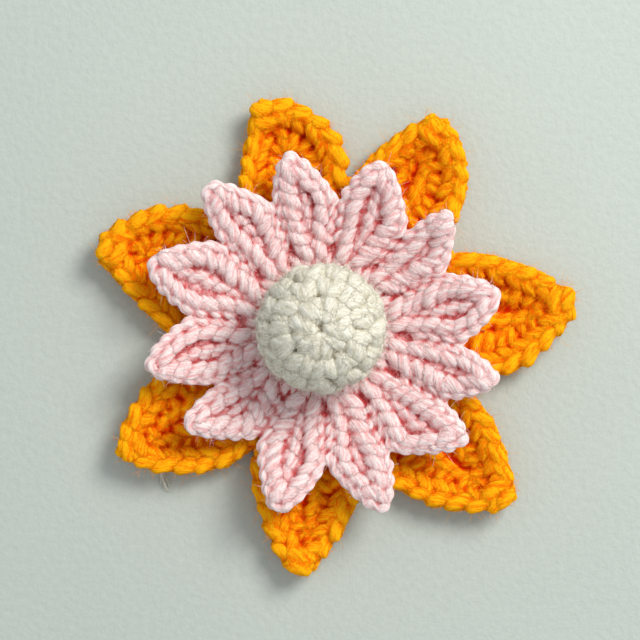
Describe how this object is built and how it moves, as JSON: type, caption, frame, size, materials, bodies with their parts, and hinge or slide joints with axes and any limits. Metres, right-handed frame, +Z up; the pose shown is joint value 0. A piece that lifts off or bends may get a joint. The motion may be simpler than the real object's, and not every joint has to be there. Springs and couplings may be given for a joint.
{
  "type": "crocheted flower",
  "caption": "Crocheted flower that lies flat, with cupped orange petals, a smaller layer of pink petals on them and a stuffed cream ball in the middle.",
  "frame": {"origin": "On the table, under the middle of the flower's outline. The axis of the ball and of both layers stands a few millimetres beside it, because the petals are of uneven length", "axes": "+Z up, from the back of the orange layer towards the top of the ball. +Y towards the top of the picture and +X towards its right"},
  "size_m": [0.0992, 0.0988, 0.0283],
  "materials": {
    "orange_yarn": "fuzzy plied yarn",
    "pink_yarn": "fuzzy plied yarn",
    "cream_yarn": "fuzzy plied yarn"
  },
  "bodies": {
    "root": {"orange_petal_layer": "orange_yarn", "pink_petal_layer": "pink_yarn", "cream_ball": "cream_yarn", "sewing_stitches": "cream_yarn"}
  },
  "joints": []
}
